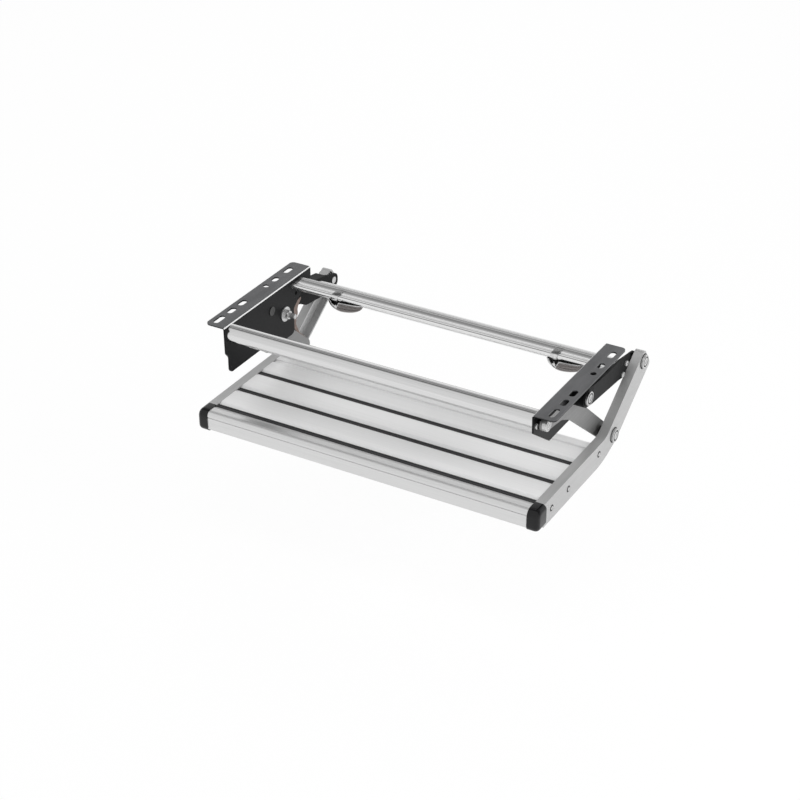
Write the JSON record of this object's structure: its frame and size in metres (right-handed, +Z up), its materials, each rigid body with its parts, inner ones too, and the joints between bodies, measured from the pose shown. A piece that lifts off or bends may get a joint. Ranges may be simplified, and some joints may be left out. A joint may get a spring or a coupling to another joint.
{
  "type": "caravan entry step",
  "caption": "Swing-out caravan entry step, stowed: folded black side brackets, cross tubes, pivoted links and a grooved aluminium tread with glossy black end caps.",
  "frame": {"origin": "midway between the round bolt holes of the two bracket flanges, on the flanges' top face", "axes": "+X to the viewer's right along the tread, +Y back under the vehicle, +Z up"},
  "size_m": [0.56, 0.37, 0.164],
  "materials": {
    "charcoal_paint": "semi-matte powder coat",
    "satin_aluminium": "satin anodised",
    "grey_steel": "dull zinc",
    "zinc_steel": "bright zinc",
    "bright_spring_steel": "polished",
    "black_rubber": "matt",
    "black_nylon": "matt",
    "gloss_black_plastic": "glossy"
  },
  "bodies": {
    "frame": {"left_bracket": "charcoal_paint", "right_bracket": "charcoal_paint", "front_cross_tube": "satin_aluminium", "rear_profile": "satin_aluminium", "front_tube_screws": "zinc_steel", "rear_profile_screws": "zinc_steel", "front_pivot_pins": "zinc_steel", "front_pivot_spacers": "black_nylon", "rear_pivot_pins": "zinc_steel", "rear_pivot_spacers": "black_nylon", "stow_stud": "zinc_steel", "stow_stud_washer": "zinc_steel", "stow_stud_nut": "zinc_steel", "left_profile_clip": "bright_spring_steel", "right_profile_clip": "bright_spring_steel"},
    "rear_links": {"left_rear_link": "charcoal_paint", "right_rear_link": "charcoal_paint", "rear_cross_tube": "satin_aluminium", "rear_tube_screws": "zinc_steel"},
    "left_front_link": {"left_front_link": "grey_steel", "catch_spring": "bright_spring_steel"},
    "right_front_link": {"right_front_link": "grey_steel"},
    "tread": {"left_arm": "satin_aluminium", "right_arm": "satin_aluminium", "nose_plank": "satin_aluminium", "front_deck_plank": "satin_aluminium", "middle_deck_plank": "satin_aluminium", "back_deck_plank": "satin_aluminium", "rear_rail": "satin_aluminium", "front_grip_strip": "black_rubber", "middle_grip_strip": "black_rubber", "back_grip_strip": "black_rubber", "left_end_cap": "gloss_black_plastic", "right_end_cap": "gloss_black_plastic", "side_screws": "zinc_steel", "upper_pivot_pins": "zinc_steel", "upper_pivot_bushes": "black_nylon", "lower_pivot_pins": "zinc_steel", "lower_pivot_bushes": "black_nylon"}
  },
  "joints": [
    {"name": "rear_links_swing", "type": "hinge", "parent": "frame", "child": "rear_links", "pos_m": [0, -0.0202, -0.028], "axis": [-1, 0, 0], "range_deg": [0, 146.1]},
    {"name": "tread_swing", "type": "hinge", "parent": "rear_links", "child": "tread", "pos_m": [0, 0.1685, -0.0602], "axis": [-1, 0, 0], "range_deg": [-146.1, 0]},
    {"name": "left_front_link_swing", "type": "hinge", "parent": "frame", "child": "left_front_link", "pos_m": [-0.2552, -0.1262, -0.02], "axis": [-1, 0, 0], "range_deg": [0, 105.3]},
    {"name": "right_front_link_swing", "type": "hinge", "parent": "frame", "child": "right_front_link", "pos_m": [0.2552, -0.1262, -0.02], "axis": [-1, 0, 0], "range_deg": [0, 105.3]}
  ],
  "couplings": [
    {"joint": "tread_swing", "follows": "rear_links_swing", "ratio": -1},
    {"joint": "left_front_link_swing", "follows": "rear_links_swing", "ratio": 0.7207},
    {"joint": "right_front_link_swing", "follows": "rear_links_swing", "ratio": 0.7207}
  ]
}
